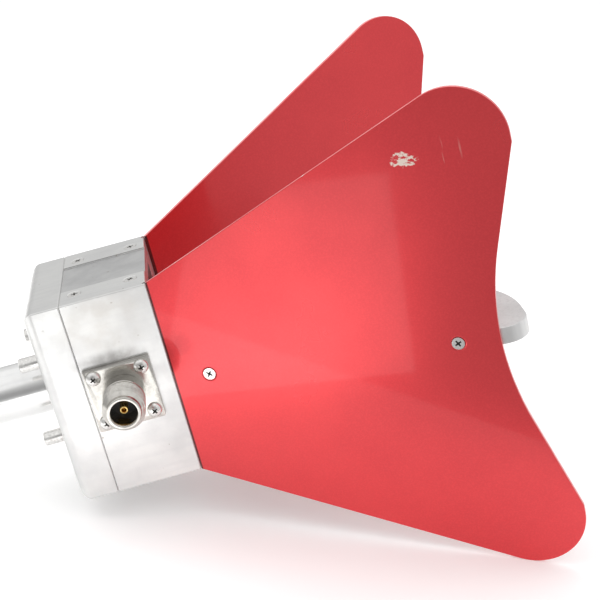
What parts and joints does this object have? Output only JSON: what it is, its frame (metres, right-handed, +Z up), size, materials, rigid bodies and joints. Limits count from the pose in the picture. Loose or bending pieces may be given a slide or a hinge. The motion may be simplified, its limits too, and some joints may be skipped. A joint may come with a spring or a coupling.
{
  "type": "horn antenna",
  "caption": "Open-sided ridged horn antenna with a machined feed block, coaxial jack, flared red sheets, tapered ridges and a round rear boom.",
  "frame": {"origin": "on the axis, at the middle of the boom's free length, where a mast clamp grips it", "axes": "+X is boresight, out of the mouth, and -X runs back along the boom. +Z is up through a narrow wall of the feed block. The coaxial jack is on the -Y side."},
  "size_m": [0.3051, 0.155, 0.183],
  "materials": {
    "milled_aluminium": "bare milled, satin, faintly stained",
    "inner_aluminium": "bare milled",
    "ridge_aluminium": "bare, satin, wire-cut edge",
    "red_paint": "gloss red enamel with small chips",
    "nickel_plate": "bright nickel plate",
    "dark_insulator": "dark moulded insulator",
    "white_insulator": "white fluoropolymer",
    "gold_plate": "gold plate",
    "screw_steel": "stainless steel",
    "boom_steel": "polished drawn tube"
  },
  "bodies": {
    "root": {"waveguide_body": "milled_aluminium", "rear_cap": "milled_aluminium", "feed_carrier": "inner_aluminium", "plain_carrier": "inner_aluminium", "feed_ridge": "ridge_aluminium", "plain_ridge": "ridge_aluminium", "feed_flare": "red_paint", "plain_flare": "red_paint", "connector_shell": "nickel_plate", "connector_insulator": "dark_insulator", "connector_contact": "gold_plate", "probe_sleeve": "white_insulator", "feed_probe": "gold_plate", "connector_screws": "screw_steel", "top_screws": "screw_steel", "bottom_screws": "screw_steel", "feed_flare_screws": "screw_steel", "plain_flare_screws": "screw_steel", "rear_screws": "screw_steel", "boom_tube": "boom_steel"}
  },
  "joints": []
}
